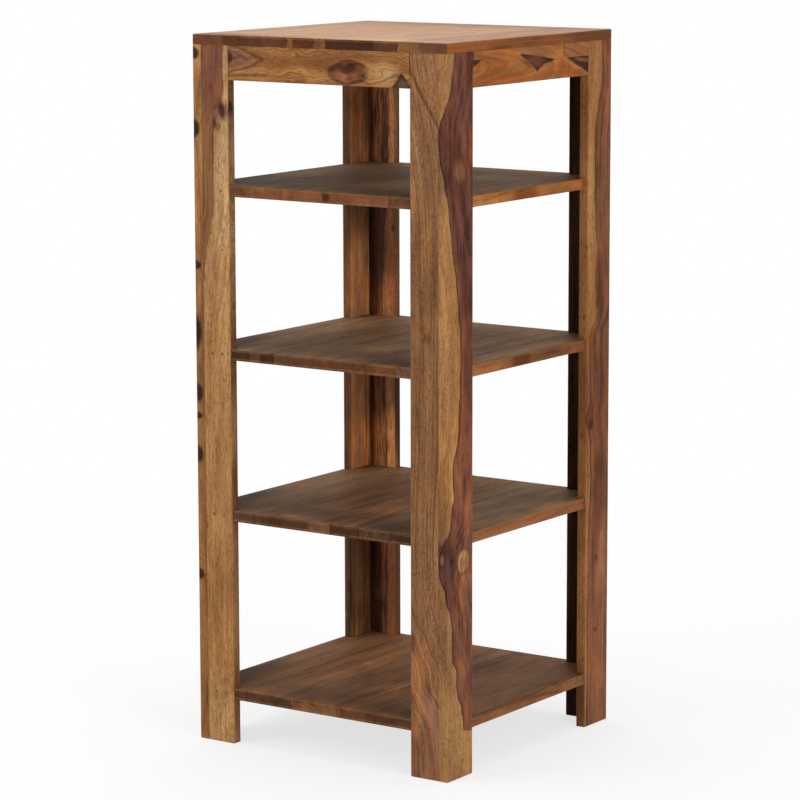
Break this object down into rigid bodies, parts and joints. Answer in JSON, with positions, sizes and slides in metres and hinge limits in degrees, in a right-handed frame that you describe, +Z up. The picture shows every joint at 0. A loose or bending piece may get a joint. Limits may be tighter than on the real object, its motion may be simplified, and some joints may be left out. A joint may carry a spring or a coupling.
{
  "type": "open display shelf",
  "caption": "Tall open display shelf in solid rosewood: L-shaped board legs, a flush plank top over an apron frame, and open plank shelves notched into the legs.",
  "frame": {"origin": "on the floor, under the middle of the shelf", "axes": "+Z up, -Y the front, +X the right-hand side seen from the front"},
  "size_m": [0.45, 0.44, 1.06],
  "materials": {
    "leg_rosewood": "clear satin lacquer over golden sapwood and red-brown heartwood",
    "apron_rosewood": "clear satin lacquer over golden, strongly figured sapwood",
    "top_rosewood": "clear satin lacquer over streaked brown planks",
    "shelf_rosewood": "clear satin lacquer over streaked brown planks",
    "block_softwood": "sawn, unfinished",
    "nail_steel": "plain bright wire nail"
  },
  "bodies": {
    "root": {"front_left_leg_side_board": "leg_rosewood", "front_left_leg_front_board": "leg_rosewood", "front_left_corner_block": "block_softwood", "front_right_leg_side_board": "leg_rosewood", "front_right_leg_front_board": "leg_rosewood", "front_right_corner_block": "block_softwood", "back_left_leg_side_board": "leg_rosewood", "back_left_leg_back_board": "leg_rosewood", "back_left_corner_block": "block_softwood", "back_right_leg_side_board": "leg_rosewood", "back_right_leg_back_board": "leg_rosewood", "back_right_corner_block": "block_softwood", "front_apron": "apron_rosewood", "back_apron": "apron_rosewood", "left_apron": "apron_rosewood", "right_apron": "apron_rosewood", "top_plank_1": "top_rosewood", "top_plank_2": "top_rosewood", "top_plank_3": "top_rosewood", "top_plank_4": "top_rosewood", "top_plank_5": "top_rosewood", "shelf_1_plank_1": "shelf_rosewood", "shelf_1_plank_2": "shelf_rosewood", "shelf_1_plank_3": "shelf_rosewood", "shelf_1_plank_4": "shelf_rosewood", "shelf_1_plank_5": "shelf_rosewood", "shelf_2_plank_1": "shelf_rosewood", "shelf_2_plank_2": "shelf_rosewood", "shelf_2_plank_3": "shelf_rosewood", "shelf_2_plank_4": "shelf_rosewood", "shelf_2_plank_5": "shelf_rosewood", "shelf_3_plank_1": "shelf_rosewood", "shelf_3_plank_2": "shelf_rosewood", "shelf_3_plank_3": "shelf_rosewood", "shelf_3_plank_4": "shelf_rosewood", "shelf_3_plank_5": "shelf_rosewood", "shelf_4_plank_1": "shelf_rosewood", "shelf_4_plank_2": "shelf_rosewood", "shelf_4_plank_3": "shelf_rosewood", "shelf_4_plank_4": "shelf_rosewood", "shelf_4_plank_5": "shelf_rosewood", "shelf_1_front_left_nail": "nail_steel", "shelf_1_front_right_nail": "nail_steel", "shelf_1_back_left_nail": "nail_steel", "shelf_1_back_right_nail": "nail_steel", "shelf_2_front_left_nail": "nail_steel", "shelf_2_front_right_nail": "nail_steel", "shelf_2_back_left_nail": "nail_steel", "shelf_2_back_right_nail": "nail_steel", "shelf_3_front_left_nail": "nail_steel", "shelf_3_front_right_nail": "nail_steel", "shelf_3_back_left_nail": "nail_steel", "shelf_3_back_right_nail": "nail_steel", "shelf_4_front_left_nail": "nail_steel", "shelf_4_front_right_nail": "nail_steel", "shelf_4_back_left_nail": "nail_steel", "shelf_4_back_right_nail": "nail_steel"}
  },
  "joints": []
}
